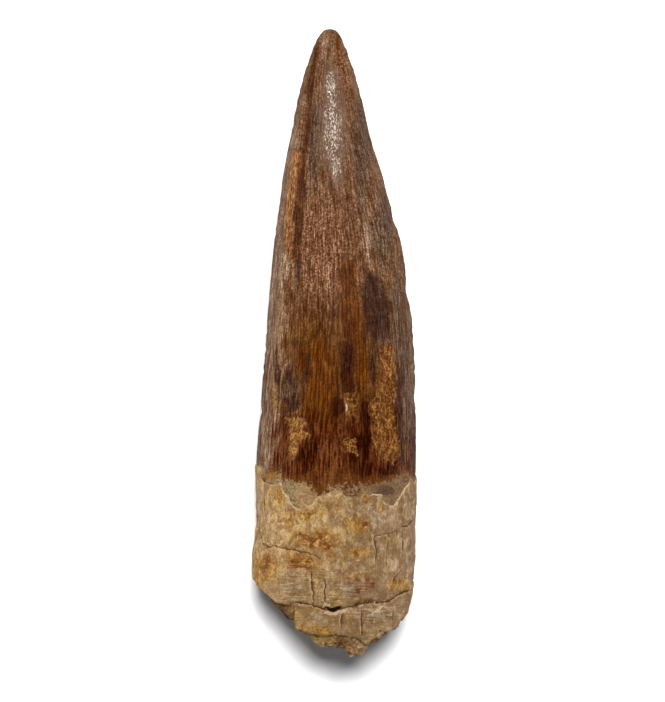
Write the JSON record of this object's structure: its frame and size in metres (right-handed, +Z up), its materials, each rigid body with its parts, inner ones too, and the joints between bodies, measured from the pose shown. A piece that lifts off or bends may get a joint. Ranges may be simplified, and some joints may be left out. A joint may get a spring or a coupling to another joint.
{
  "type": "spinosaurus tooth",
  "caption": "Fossil dinosaur tooth lying on its side: long fluted conical crown with spalled enamel, scalloped crust on the root stub, uneven broken end.",
  "frame": {"origin": "on the resting surface, under the centre of the tooth's bounding box", "axes": "+Y along the tooth towards its tip, +Z up out of the better-preserved face, +X to the right of that face with the tip pointing away"},
  "size_m": [0.0344, 0.13, 0.0287],
  "materials": {
    "fossil": "semi-gloss brown enamel on the crown, matt cream crust with ochre stains on the root"
  },
  "bodies": {
    "root": {"tooth": "fossil"}
  },
  "joints": []
}
